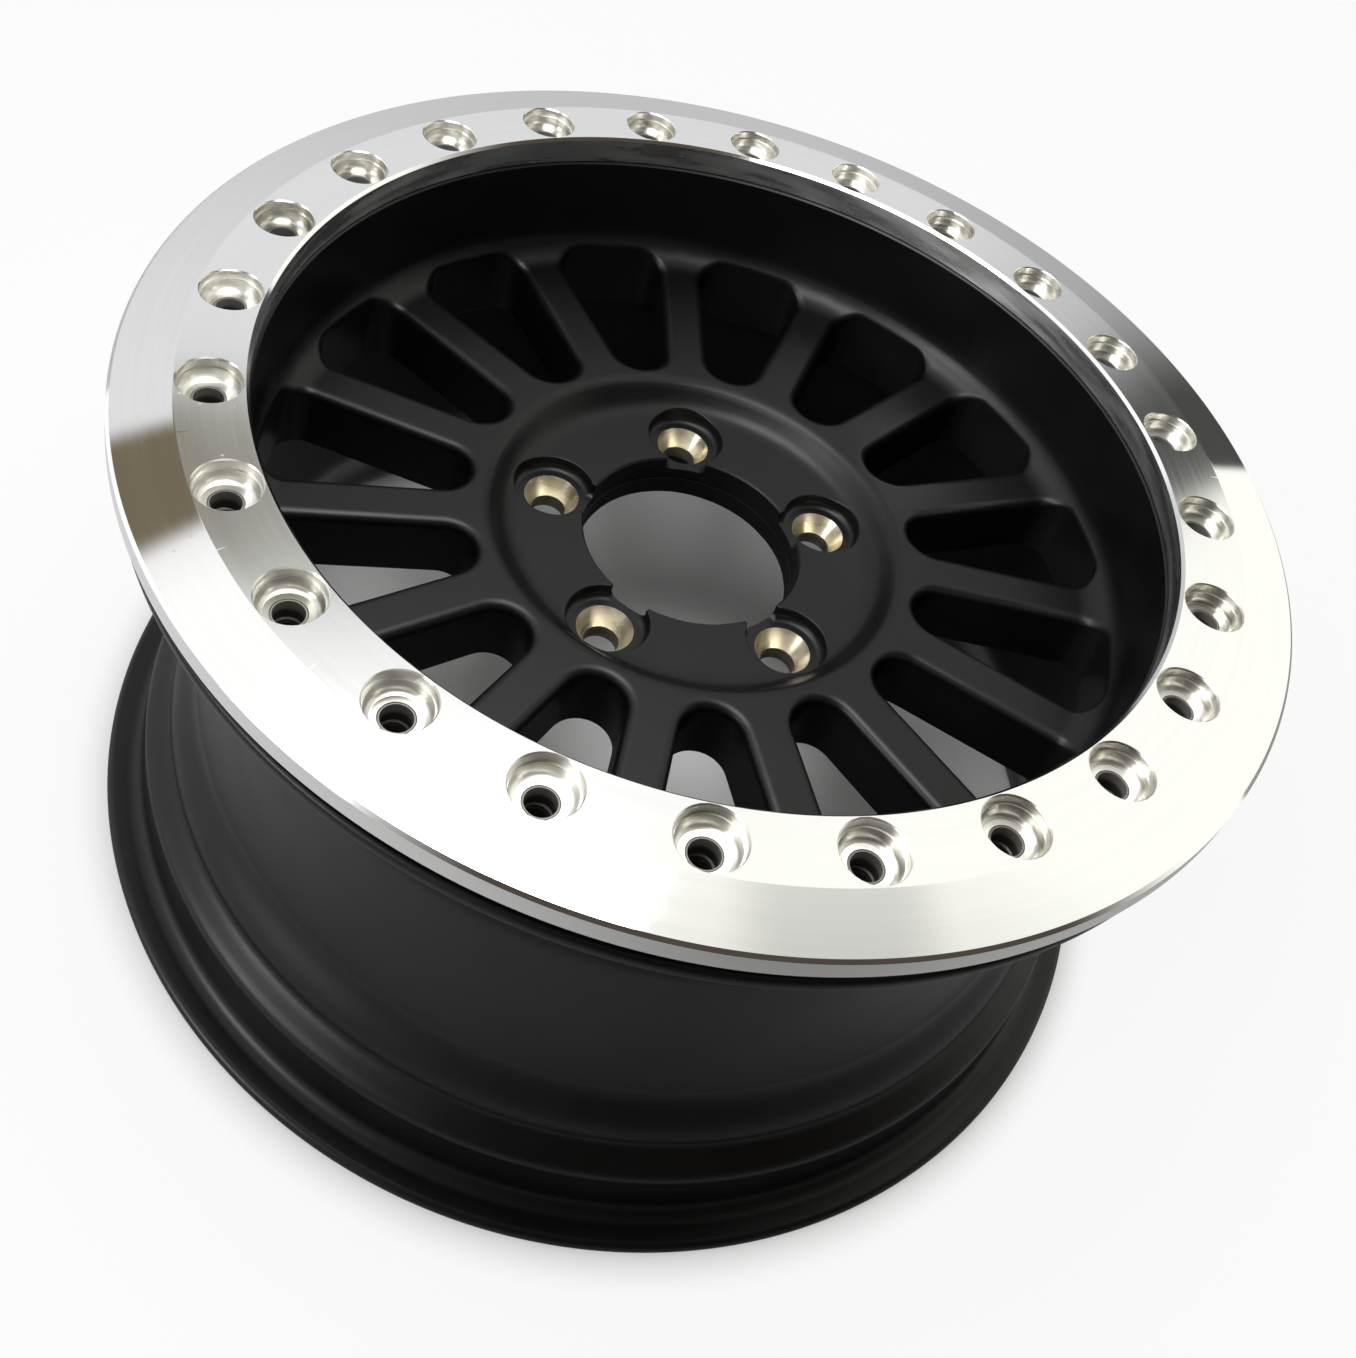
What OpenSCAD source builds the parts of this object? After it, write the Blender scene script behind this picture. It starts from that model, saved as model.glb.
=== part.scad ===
// Forged one-piece beadlock wheel with its clamp ring and the ring's thread inserts.
// The wheel lies on its inboard flange: z = 0 is the floor and +Z points outboard, along the axle.

/* [Rim] */
// Diameter of the bead seats
seat_d = 436.6; // [430:0.2:444]
// Width between the two bead faces
rim_w = 203.2; // [196:0.2:230]
// Height of the inboard flange above its bead seat
flange_h = 14.8; // [13:0.1:19]
// Thickness of the inboard flange
flange_t = 6; // [5:0.5:13]
// Depth of the barrel's well below the bead seats
well_depth = 20.3; // [18:0.1:23]
// Depth of the ledge between the inboard seat and the well
ledge_depth = 10.3; // [8:0.1:14]
// Height of the safety hump above the seat beside it
hump_h = 0.8; // [0.4:0.1:2]
// Distance from the inboard bead face to the hump
hump_x = 23; // [21:0.5:26]
// Thickness of the barrel wall
wall_t = 8; // [7:0.5:9]

/* [Bead clamp] */
// Height of the clamp flange above the bead seat it backs
clamp_h = 14.2; // [11:0.1:17]
// Thickness of the clamp flange
clamp_t = 5.5; // [4:0.5:8]
// Gap between the clamp flange and the ring with no tyre fitted
bead_gap = 9; // [6:0.5:12]
// Width of the bolt face, from the inside of the dish to the bead seat
bolt_face_w = 31.8; // [31.5:0.1:33.5]

/* [Clamp ring] */
// Overhang of the ring past the clamp flange
ring_lap = 3.2; // [1:0.1:6]
// Setback of the ring's bore from the inside of the dish
ring_set = 0.75; // [0:0.05:0.8]
// Thickness of the ring
ring_t = 13.5; // [12:0.5:16]
// Flat land between a counterbore's mouth and the ring's cone
cone_land = 0.1; // [0.1:0.1:4]
// Drop of the cone from the flat face to the rim of the ring
cone_drop = 4.2; // [2:0.1:6]
// Chamfer round the rim of the ring
rim_chamfer = 1.2; // [0.6:0.1:2]
// Chamfer round the inside of the ring
inner_chamfer = 1.2; // [0.5:0.1:1.3]

/* [Ring bolts] */
// Number of ring bolts
bolt_n = 24; // [16:4:24]
// Distance from the inside of the dish to the bolt circle
bolt_inset = 14.5; // [14.5:0.1:15.5]
// Angle of the first bolt from the X axis
bolt_phase = 8.5; // [0:0.5:14.5]
// Diameter of the lower counterbore, in which a bolt head sits
head_d = 22.4; // [20:0.2:22.4]
// Widening of the upper counterbore, all round
cbore_lap = 0.7; // [0.2:0.1:0.7]
// Depth of the upper counterbore
cbore_step = 4; // [2:0.5:5]
// Depth of the counterbore's floor
head_depth = 9; // [8:0.5:10]
// Fillet round the floor of the counterbore
head_fillet = 2.4; // [1:0.2:2.6]
// Chamfer round the mouth of the counterbore
mouth_chamfer = 0.5; // [0.2:0.1:0.6]

/* [Thread inserts] */
// Diameter of the thread
thread_d = 9.52; // [8:0.02:10]
// Widening of the smooth entry above the thread, all round
entry_lap = 0.74; // [0.5:0.02:0.9]
// Depth of the smooth entry from the top of the collar
entry_l = 8; // [5:0.5:10]
// Wall of the collar that centres the ring
collar_wall = 0.8; // [0.6:0.1:1.2]
// Clearance of the collar in the ring, all round
collar_gap = 0.1; // [0.05:0.05:0.3]
// Shoulder under the ring, from the collar to the insert's body
insert_lap = 1.2; // [0.6:0.1:1.6]
// Length of the insert's body
insert_l = 18; // [12:1:19]
// Clearance of the insert's body in its hole, all round
insert_gap = 0.05; // [0.02:0.01:0.1]
/* [Disc] */
// Distance from the middle of the rim to the mounting pad
offset_et = 27.5; // [20:0.5:30]
// Thickness of the hub from the mounting pad to its front face
hub_t = 20.8; // [19.2:0.2:24]
// Width of the mounting pad outside the lug circle
pad_margin = 14.5; // [12.5:0.5:18.5]
// Step from the mounting pad to the back of the spokes
spoke_relief = 2; // [1:0.5:4]
// Fillet where the spoke faces rise into the dish
dish_fillet = 15; // [10:0.5:15]
// Fillet behind the spokes, inside the barrel
back_fillet = 9; // [6:0.5:12]
// Land of the hub face between a pocket and the step to the spokes
recess_land = 7.7; // [6:0.1:8]
// Fillet at the foot of that step
recess_foot = 5.6; // [4:0.2:5.6]
// Rounding at the top of that step
recess_top = 5; // [3:0.5:5]

/* [Windows] */
// Number of windows, and of spokes
window_n = 15; // [10:5:15]
// Land between the top of the hub's step and a window's rounded edge
window_land = 0.5; // [0.1:0.1:4]
// Distance from a window's outer end to the inside of the dish
window_set = 3.8; // [3.5:0.1:8]
// Width of a spoke
spoke_w = 20.6; // [19:0.2:23]
// Radius of a window's two outer corners
corner_r = 11; // [8:0.5:13]
// Rounding along a window's front edge
edge_r = 4; // [2:0.5:4]

/* [Hub] */
// Number of lug holes
lug_n = 5; // [5:1:5]
// Diameter of the lug circle
lug_pcd = 127; // [126.6:0.1:127.4]
// Diameter of a lug hole
lug_hole_d = 14.8; // [14:0.1:16]
// Width of the conical seat at its mouth, from the hole's edge
lug_seat_w = 4.5; // [4:0.1:5]
// Included angle of the conical seat
lug_seat_angle = 60; // [60:5:90]
// Floor of the pocket between the seat and the fillet
pocket_floor = 2.6; // [2:0.1:3]
// Depth of the pocket below the hub face
pocket_depth = 6.3; // [5:0.1:7]
// Fillet round the floor of the pocket
pocket_fillet = 2.8; // [2:0.2:3.4]
// Width of the slot from the pocket to the centre bore
slot_w = 18; // [16:0.5:20]
// Diameter of the centre bore
bore_d = 93.4; // [92:0.1:94]
// Step from the centre bore to the cap recess in front of it
cap_step = 0.9; // [0.5:0.1:1.2]
// Length of the centre bore behind the cap recess
bore_l = 9; // [7:0.5:11]
// Chamfer at both ends of the centre bore
bore_chamfer = 0.8; // [0.4:0.1:1.2]

/* [Valve] */
// Diameter of the valve hole
valve_d = 11.3; // [10:0.1:12]
// Angle of the valve hole from the X axis
valve_angle = 256; // [252:1:260]
// Height of the valve hole above the spoke faces
valve_up = 18; // [16:1:19]

/* [Hidden] */
bolt_names = [for (i = [1:bolt_n]) str("thread_insert_", i < 10 ? "0" : "", i)];
$fn = 120;

// Colours
satin_black = [0.07, 0.07, 0.075];
bare_metal = [0.78, 0.78, 0.8];
black_steel = [0.16, 0.16, 0.17];

// Heights, from the floor up
bead_z = flange_t;
clamp_z = bead_z + rim_w;
bolt_z = clamp_z + bead_gap;
ring_z = bolt_z + ring_t;
collar_z = ring_z - head_depth;
pad_z = bead_z + rim_w / 2 + offset_et;
hub_z = pad_z + hub_t;
spoke_z = hub_z + recess_top + recess_foot;
back_z = pad_z + spoke_relief;
pocket_z = hub_z - pocket_depth;
cap_z = pad_z + bore_l;

// Rim radii
seat_r = seat_d / 2;
flange_r = seat_r + flange_h;
well_r = seat_r - well_depth;
ledge_r = seat_r - ledge_depth;
clamp_r = seat_r + clamp_h;
dish_r = seat_r - bolt_face_w;

// Clamp ring radii
bolt_r = dish_r + bolt_inset;
head_r = head_d / 2;
cbore_r = head_r + cbore_lap;
ring_in_r = dish_r + ring_set;
cone_r = bolt_r + cbore_r + mouth_chamfer + cone_land;
ring_r = clamp_r + ring_lap;

// Thread insert radii
thread_r = thread_d / 2;
entry_r = thread_r + entry_lap;
collar_r = entry_r + collar_wall;
insert_r = collar_r + insert_lap;

// Hub radii
bore_r = bore_d / 2;
cap_r = bore_r + cap_step;
lug_r = lug_pcd / 2;
hole_r = lug_hole_d / 2;
mouth_r = hole_r + lug_seat_w;
pocket_r = mouth_r + pocket_floor + pocket_fillet;
pad_r = lug_r + pad_margin;
recess_r = lug_r + pocket_r + recess_land;

// Distances from the axle to the two ends of a window
window_in = recess_r + recess_top + window_land + edge_r;
window_out = dish_r - window_set;

// Standard bead seat: a round heel, a 5 degree seat and a low hump
heel_r = 6.5;
seat_angle = 5;
hump_half = 4;
hump_flat = 1;
seat_end_r = seat_r - (hump_x - hump_half - heel_r) * tan(seat_angle);
hump_r = seat_end_r + hump_h;
hump_z = bead_z + hump_x;

// Barrel behind the seat
ledge_edge = 3;
ledge_run = 8;
well_rise = 22;
well_lead = 2.5;
well_in_z = hump_z + hump_half + ledge_run;
well_end_z = well_in_z + well_rise + well_lead;
lip_r = flange_t / 2;
bell_r = 4;
bell_lead = 3.5;
bell_in_r = seat_end_r - wall_t;
bell_z = bead_z + bell_lead;
barrel_in_r = well_r - wall_t;

// Outer end of the barrel and the clamp flange
clamp_round = 2;
clamp_fillet = 7;
shoulder_depth = 4;
shoulder_land = 3;
shoulder_r = seat_r - shoulder_depth;
shoulder_z = clamp_z - clamp_t - clamp_fillet - shoulder_land;
turned_edge = 0.8;

// Ends of a cutter that passes a surface
over = 20;
clear = 1;
pitch = 360 / window_n;

// Points of an arc about [x, y], from angle a to angle b in n steps
function arc(x, y, r, a, b, n) =
    [for (i = [0:n]) [x + r * cos(a + (b - a) * i / n), y + r * sin(a + (b - a) * i / n)]];

// Points of an S-curve from p to q, upright at both ends, in n steps
function ease(p, q, n) =
    [for (i = [0:n]) [p[0] + (q[0] - p[0]) * (1 - cos(180 * i / n)) / 2, p[1] + (q[1] - p[1]) * i / n]];

// Outside of the rim in section, from the bolt face down over the barrel to the inboard lip
rim_outside = concat(
    [[dish_r, bolt_z - turned_edge], [dish_r + turned_edge, bolt_z]],
    [[seat_r - turned_edge, bolt_z], [seat_r, bolt_z - turned_edge]],
    arc(seat_r + turned_edge, clamp_z + turned_edge, turned_edge, 180, 270, 2),
    arc(clamp_r - clamp_round, clamp_z - clamp_round, clamp_round, 90, 0, 3),
    arc(clamp_r - clamp_round, clamp_z - clamp_t + clamp_round, clamp_round, 0, -90, 3),
    arc(shoulder_r + clamp_fillet, clamp_z - clamp_t - clamp_fillet, clamp_fillet, 90, 180, 4),
    ease([shoulder_r, shoulder_z], [well_r, pad_z + spoke_relief], 8),
    ease([well_r, well_in_z + well_rise], [ledge_r, well_in_z], 6),
    ease([ledge_r, hump_z + hump_half + ledge_edge], [hump_r, hump_z + hump_flat], 5),
    ease([hump_r, hump_z - hump_flat], [seat_end_r, hump_z - hump_half], 3),
    arc(seat_r + heel_r, bead_z + heel_r, heel_r, 180, 270, 5),
    arc(flange_r - lip_r, lip_r, lip_r, 90, -90, 10)
);

// Inside of the rim in section, from the inboard face up to the back of the spokes
rim_inside = concat(
    arc(bell_in_r + bell_r, bell_r, bell_r, 270, 180, 4),
    ease([bell_in_r, bell_z], [barrel_in_r, well_end_z], 8),
    arc(barrel_in_r - back_fillet, back_z - back_fillet, back_fillet, 0, 90, 6)
);

// Mounting pad, hub face, step, spoke faces and dish wall in section
disc_section = concat(
    [[pad_r + spoke_relief, back_z], [pad_r, pad_z], [0, pad_z], [0, hub_z]],
    arc(recess_r - recess_foot, hub_z + recess_foot, recess_foot, -90, 0, 5),
    arc(recess_r + recess_top, spoke_z - recess_top, recess_top, 180, 90, 5),
    arc(dish_r - dish_fillet, spoke_z + dish_fillet, dish_fillet, -90, 0, 8)
);

// Half a window's outline: sides parallel to the spokes, round ends
half_pitch = pitch / 2;
apex_x = spoke_w / 2 / sin(half_pitch);
end_x = (window_in - apex_x * sin(half_pitch)) / (1 - sin(half_pitch));
end_r = end_x - window_in;
corner_c = window_out - corner_r;
corner_a = half_pitch - asin((spoke_w / 2 + corner_r) / corner_c);
normal_a = half_pitch + 90;
side_0 = [end_x + end_r * cos(normal_a), end_r * sin(normal_a)];
corner_0 = [corner_c * cos(corner_a), corner_c * sin(corner_a)];
side_1 = corner_0 + corner_r * [cos(normal_a), sin(normal_a)];
side_l = norm(side_1 - side_0);
far_0 = corner_0 * (window_out + over) / corner_c;
ramp_l = 12;

// Rounded edge in section: x runs out from the window's wall, y up from the spoke face
edge_slack = 0.1;
edge_section = concat(
    [[-clear, clear], [-clear, -edge_r * (1 + edge_slack)]],
    [[-edge_slack * edge_r * (1 - cos(30)), -edge_r * (1 + edge_slack * sin(30))]],
    [for (t = [30:30:60]) [edge_r * (1 - cos(t)), -edge_r * (1 - sin(t))]],
    [[edge_r * (1 + edge_slack * cos(60)), edge_r * edge_slack * (1 - sin(60))]],
    [[edge_r * (1 + edge_slack * cos(60)), clear]]
);

// Window about the X axis, through the disc
module window() {
    window_h = hub_t + 2 * over;
    outline = [side_0, side_1, corner_0, far_0, far_0 - [0, 2 * far_0[1]],
        corner_0 - [0, 2 * corner_0[1]], side_1 - [0, 2 * side_1[1]], side_0 - [0, 2 * side_0[1]]];
    translate([0, 0, back_z - over]) {
        intersection() {
            cylinder(r = window_out, h = window_h);
            linear_extrude(window_h) polygon(outline);
        }
        translate([end_x, 0, 0]) cylinder(r = end_r, h = window_h);
        for (s = [-1, 1]) {
            translate([corner_0[0], s * corner_0[1], 0]) cylinder(r = corner_r, h = window_h);
        }
    }
}

// Rounding along one side of a window, which runs out before the corner
module side_edge() {
    depth = edge_r * (1 + edge_slack);
    ramp = [
        [0, -depth - clear], [side_l - ramp_l, -depth], [side_l, edge_slack], [side_l, clear], [0, clear]
    ];
    translate([side_0[0], side_0[1], spoke_z]) rotate([0, 0, normal_a]) intersection() {
        rotate([90, 0, 0]) linear_extrude(side_l) polygon(edge_section);
        translate([2 * edge_r, 0, 0]) rotate([90, 0, -90]) linear_extrude(3 * edge_r) polygon(ramp);
    }
}

// Rounding round the inner end of a window
module end_edge() {
    translate([end_x, 0, spoke_z]) rotate([0, 0, normal_a])
        rotate_extrude(angle = 180 - pitch)
            polygon([for (p = edge_section) p + [end_r, 0]]);
}

// Lug hole, conical seat and pocket about the Z axis
module lug_pocket() {
    cone_z = pocket_z - (mouth_r - hole_r) / tan(lug_seat_angle / 2);
    rotate_extrude() polygon(concat(
        [[0, pad_z - over], [hole_r, pad_z - over], [hole_r, cone_z], [mouth_r, pocket_z]],
        arc(pocket_r - pocket_fillet, pocket_z + pocket_fillet, pocket_fillet, -90, 0, 4),
        [[pocket_r, hub_z + clear], [0, hub_z + clear]]
    ));
}

// Slot from a pocket to the centre bore, along X
module lug_slot() {
    half_w = slot_w / 2;
    right = concat(
        arc(half_w - pocket_fillet, pocket_z + pocket_fillet, pocket_fillet, -90, 0, 4),
        [[half_w, hub_z + clear]]
    );
    left = [for (i = [len(right) - 1:-1:0]) [-right[i][0], right[i][1]]];
    rotate([90, 0, 90]) linear_extrude(lug_r) polygon(concat(right, left));
}

// Centre bore with the cap recess
module centre_bore() {
    rotate_extrude() polygon([
        [0, pad_z - clear], [bore_r + bore_chamfer + clear, pad_z - clear],
        [bore_r, pad_z + bore_chamfer], [bore_r, cap_z], [cap_r, cap_z],
        [cap_r, hub_z - bore_chamfer], [cap_r + bore_chamfer + clear, hub_z + clear], [0, hub_z + clear]
    ]);
}

// Blind hole for a thread insert, with the drill point below it
module insert_hole() {
    thread_depth = 0.5;
    drill_r = thread_r - thread_depth;
    drill_l = 4;
    drill_z = bolt_z - insert_l - drill_l;
    point_h = drill_r / 2;
    translate([0, 0, bolt_z - insert_l]) cylinder(r = insert_r + insert_gap, h = insert_l + clear);
    translate([0, 0, drill_z]) cylinder(r = drill_r, h = drill_l + clear);
    translate([0, 0, drill_z - point_h]) cylinder(r1 = 0, r2 = drill_r, h = point_h);
}

// Places what follows at every ring bolt
module at_bolts() {
    for (i = [0:bolt_n - 1]) {
        rotate([0, 0, bolt_phase + i * 360 / bolt_n]) translate([bolt_r, 0, 0]) children();
    }
}

// The wheel: hub, spokes, dish, barrel and flanges in one piece
module wheel() {
    color(satin_black) difference() {
        rotate_extrude() polygon(concat(disc_section, rim_outside, rim_inside));
        for (i = [0:window_n - 1]) {
            rotate([0, 0, 90 + (i + 0.5) * pitch]) {
                window();
                side_edge();
                mirror([0, 1, 0]) side_edge();
                end_edge();
            }
        }
        for (i = [0:lug_n - 1]) {
            rotate([0, 0, 90 + i * 360 / lug_n]) {
                translate([lug_r, 0, 0]) lug_pocket();
                lug_slot();
            }
        }
        centre_bore();
        at_bolts() insert_hole();
        rotate([0, 0, valve_angle]) translate([dish_r - over, 0, spoke_z + valve_up]) rotate([0, 90, 0])
            cylinder(d = valve_d, h = flange_r - dish_r + over);
    }
}

// The clamp ring: flat face, outer cone and a counterbored hole for every bolt
module beadlock_ring() {
    collar_hole_r = collar_r + collar_gap;
    cone_z = ring_z - cone_drop;
    step_z = ring_z - cbore_step;
    color(bare_metal) difference() {
        rotate_extrude() polygon([
            [ring_in_r, bolt_z + turned_edge], [ring_in_r + turned_edge, bolt_z],
            [ring_r - turned_edge, bolt_z], [ring_r, bolt_z + turned_edge],
            [ring_r, cone_z - rim_chamfer], [ring_r - rim_chamfer, cone_z],
            [cone_r, ring_z], [ring_in_r + inner_chamfer, ring_z], [ring_in_r, ring_z - inner_chamfer]
        ]);
        at_bolts() rotate_extrude() polygon(concat(
            [[0, bolt_z - clear], [collar_hole_r, bolt_z - clear], [collar_hole_r, collar_z]],
            arc(head_r - head_fillet, collar_z + head_fillet, head_fillet, -90, 0, 4),
            [[head_r, step_z], [cbore_r, step_z], [cbore_r, ring_z - mouth_chamfer]],
            [[cbore_r + mouth_chamfer + clear, ring_z + clear], [0, ring_z + clear]]
        ));
    }
}

// One thread insert: the collar centres the ring, the body sits in the wheel
module thread_insert(i) {
    body_z = bolt_z - insert_l;
    collar_edge = 0.4;
    color(black_steel) rotate([0, 0, bolt_phase + i * 360 / bolt_n]) translate([bolt_r, 0, 0])
        rotate_extrude() polygon([
            [thread_r, body_z], [insert_r, body_z], [insert_r, bolt_z],
            [collar_r, bolt_z], [collar_r, collar_z - collar_edge],
            [collar_r - collar_edge, collar_z], [entry_r, collar_z],
            [entry_r, collar_z - entry_l], [thread_r, collar_z - entry_l]
        ]);
}

wheel();
beadlock_ring();
for (i = [0:bolt_n - 1]) {
    thread_insert(i);
}
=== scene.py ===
# %% [markdown]
# # A beadlock wheel, dressed in Blender
#
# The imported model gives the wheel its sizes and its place: +Z is the axle, the floor is at zero and
# everything is in metres. This notebook builds the smooth, rounded skins that the eye sees, puts
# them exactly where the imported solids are, and gives each one the finish of the real thing.

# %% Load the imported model
import math

import bmesh
import bpy
import numpy as np
from mathutils import Matrix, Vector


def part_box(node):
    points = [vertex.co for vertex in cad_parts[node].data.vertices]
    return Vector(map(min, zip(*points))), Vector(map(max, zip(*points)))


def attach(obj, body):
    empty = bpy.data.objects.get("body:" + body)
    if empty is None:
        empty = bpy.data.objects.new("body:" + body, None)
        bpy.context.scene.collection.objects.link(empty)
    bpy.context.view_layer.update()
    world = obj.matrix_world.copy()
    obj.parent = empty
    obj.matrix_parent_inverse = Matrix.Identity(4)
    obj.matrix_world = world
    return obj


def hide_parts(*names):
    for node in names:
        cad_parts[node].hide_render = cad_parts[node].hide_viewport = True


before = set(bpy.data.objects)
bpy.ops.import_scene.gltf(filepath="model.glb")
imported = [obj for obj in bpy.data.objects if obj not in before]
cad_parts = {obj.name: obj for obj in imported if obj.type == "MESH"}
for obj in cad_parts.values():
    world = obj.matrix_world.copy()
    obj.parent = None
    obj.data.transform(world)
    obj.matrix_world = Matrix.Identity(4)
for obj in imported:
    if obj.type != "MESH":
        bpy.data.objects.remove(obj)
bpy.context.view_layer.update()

MM = 0.001


# %% [markdown]
# ## The sizes that the skins share
#
# A skin has to lie where the solid lies, so its sizes repeat those of the solid, in millimetres.
# Only the driving sizes are written here. Heights and fillet centres are worked out from them.

# %% Sizes of the wheel
SEAT_R, CLAMP_R, FLANGE_R = 218.3, 232.5, 233.1
WELL_R, LEDGE_R, DISH_R, WALL = 198.0, 208.0, 186.5, 8.0
FLANGE_T, CLAMP_T, RIM_W, BEAD_GAP = 6.0, 5.5, 203.2, 9.0
SPOKE_N, SPOKE_W, WINDOW_IN, WINDOW_OUT = 15, 20.6, 98.0, 182.7
CORNER_R, EDGE_R, BACK_EDGE = 11.0, 4.0, 1.0
DISH_FILLET, BACK_FILLET = 15.0, 9.0
STEP_START, STEP_OUT, STEP_RISE, FOOT_ARC, TOP_ARC = 75.5, 93.5, 10.6, 11.5, 8.5
PAD_R, RELIEF, HUB_T, OFFSET = 78.0, 2.0, 20.8, 27.5

BEAD_Z = FLANGE_T
CLAMP_Z = BEAD_Z + RIM_W
BOLT_Z = CLAMP_Z + BEAD_GAP
PAD_Z = BEAD_Z + RIM_W / 2 + OFFSET
HUB_Z = PAD_Z + HUB_T
SPOKE_Z = HUB_Z + STEP_RISE
BACK_Z = PAD_Z + RELIEF
print("spoke faces at", round(SPOKE_Z, 2), "mm, bolt face at", round(BOLT_Z, 2), "mm")

# %% Sizes of the hub, the clamp ring and the inserts
LUG_N, LUG_R, LUG_HOLE, SEAT_MOUTH = 5, 63.5, 7.4, 11.9
POCKET_R, POCKET_DEPTH, POCKET_FILLET, SLOT_W, LIP = 17.3, 6.3, 2.8, 18.0, 0.5
BORE_R, CAP_R, BORE_L, BORE_CHAMFER = 46.7, 47.6, 9.0, 0.8
BOLT_N, BOLT_R, BOLT_PHASE = 24, 201.0, 8.5
RING_IN, RING_OUT, RING_T, CONE_R, CONE_DROP = 187.25, 235.63, 13.5, 213.5, 4.2
RIM_CHAMFER, IN_CHAMFER, TURNED = 1.2, 1.2, 0.8
MOUTH, CBORE_R, CBORE_STEP, HEAD_R, HEAD_DEPTH, HEAD_FILLET = 0.5, 11.9, 4.0, 11.2, 9.0, 2.4
COLLAR_R, COLLAR_GAP, INSERT_R, INSERT_L = 6.3, 0.1, 7.5, 18.0
THREAD_R, ENTRY_R, ENTRY_L = 4.76, 5.5, 8.0
VALVE_R, VALVE_A, VALVE_UP = 5.65, 256.0, 18.0

RING_Z = BOLT_Z + RING_T
COLLAR_Z = RING_Z - HEAD_DEPTH
POCKET_Z = HUB_Z - POCKET_DEPTH
CAP_Z = PAD_Z + BORE_L
ring_low, ring_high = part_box("beadlock_ring")
print("ring up to", round(RING_Z, 2), "mm, in the packed model from", round(ring_low.z / MM, 2), "to",
    round(ring_high.z / MM, 2), "mm")

# %% [markdown]
# ## Grids of points
#
# Every surface here is a grid: one parameter runs along it, another across it, and numpy works out
# all the points at once. A `Skin` gathers such grids, welds their shared borders and hands them to
# Blender as one closed mesh, so that no seam can open and the normals can be turned outwards.

# %% Curves in section
def arc(x, z, r, start, end, steps):
    """Points at distance r from (x, z) while the angle runs from start to end, in degrees."""
    a = np.radians(np.linspace(start, end, steps + 1))
    return np.stack([x + r * np.cos(a), z + r * np.sin(a)], -1)


def ease(p, q, steps):
    """An S-curve that is upright at both ends: r follows half a cosine while z runs evenly."""
    t = np.linspace(0, 1, steps + 1)
    return np.stack([p[0] + (q[0] - p[0]) * (1 - np.cos(np.pi * t)) / 2, p[1] + (q[1] - p[1]) * t], -1)


def at_heights(radius_at, z):
    """The section that a radius function gives at these heights."""
    return np.stack([radius_at(z), z], -1)


def line(*points):
    """The points of a polyline, as an array."""
    return np.array(points, float)


# %% Surfaces from curves
def polar(r, degrees, z):
    """Point at radius r and angle degrees about the axle, at height z: x = r cos a, y = r sin a."""
    a = np.radians(degrees)
    return np.stack(np.broadcast_arrays(r * np.cos(a), r * np.sin(a), z), -1)


def revolve(section, degrees):
    """Each point (r, z) of the section is carried round the axle through the given angles."""
    return polar(section[:, None, 0], np.asarray(degrees)[None, :], section[:, None, 1])


def turned(points, degrees, shift=(0.0, 0.0)):
    """The same points moved by shift and then turned about the axle."""
    a = math.radians(degrees)
    moved = points + np.array([shift[0], shift[1], 0.0])
    matrix = np.array([[math.cos(a), -math.sin(a), 0], [math.sin(a), math.cos(a), 0], [0, 0, 1]])
    return moved @ matrix.T


def mixed(start, end, shares):
    """Rows between two curves: row v is (1 - v) of the first curve and v of the second."""
    v = np.asarray(shares, float)[:, None, None]
    return (1 - v) * start[None] + v * end[None]


# %% The skin: grids welded into one closed mesh
class Skin:
    """Gathers grids of points in millimetres and makes one mesh of them."""

    def __init__(self):
        self.points, self.quads, self.finish, self.count = [], [], [], 0

    def add(self, points, finish=0, loop=False):
        """Adds a (rows, columns, 3) grid; loop joins its last column to its first."""
        rows, columns = points.shape[:2]
        index = np.arange(rows * columns).reshape(rows, columns) + self.count
        if loop:
            index = np.hstack([index, index[:, :1]])
        quads = np.stack([index[:-1, :-1], index[:-1, 1:], index[1:, 1:], index[1:, :-1]], -1)
        self.points.append(points.reshape(-1, 3))
        self.quads.append(quads.reshape(-1, 4))
        self.finish.append(np.full(len(self.quads[-1]), finish))
        self.count += rows * columns

    def object(self, name, crease=26.0):
        """Welds what touches, turns the normals outwards and keeps edges over the crease angle sharp."""
        points = np.concatenate(self.points) * MM
        quads = np.concatenate(self.quads).astype(np.int32)
        mesh = bpy.data.meshes.new(name)
        mesh.vertices.add(len(points))
        mesh.vertices.foreach_set("co", points.astype(np.float32).ravel())
        mesh.loops.add(quads.size)
        mesh.loops.foreach_set("vertex_index", quads.ravel())
        mesh.polygons.add(len(quads))
        mesh.polygons.foreach_set("loop_start", np.arange(0, quads.size, 4, dtype=np.int32))
        mesh.polygons.foreach_set("material_index", np.concatenate(self.finish).astype(np.int32))
        mesh.update(calc_edges=True)
        work = bmesh.new()
        work.from_mesh(mesh)
        bmesh.ops.remove_doubles(work, verts=work.verts, dist=0.004 * MM)
        bmesh.ops.dissolve_degenerate(work, edges=work.edges, dist=0.002 * MM)
        bmesh.ops.recalc_face_normals(work, faces=work.faces)
        work.to_mesh(mesh)
        work.free()
        mesh.shade_smooth()
        mesh.set_sharp_from_angle(angle=math.radians(crease))
        piece = bpy.data.objects.new(name, mesh)
        bpy.context.scene.collection.objects.link(piece)
        edge_of_loop = np.zeros(len(mesh.loops), np.int32)
        mesh.loops.foreach_get("edge_index", edge_of_loop)
        sides = np.bincount(edge_of_loop, minlength=len(mesh.edges))
        print(f"{name}: {len(mesh.polygons)} faces, {int((sides != 2).sum())} open edges")
        return piece


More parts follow.
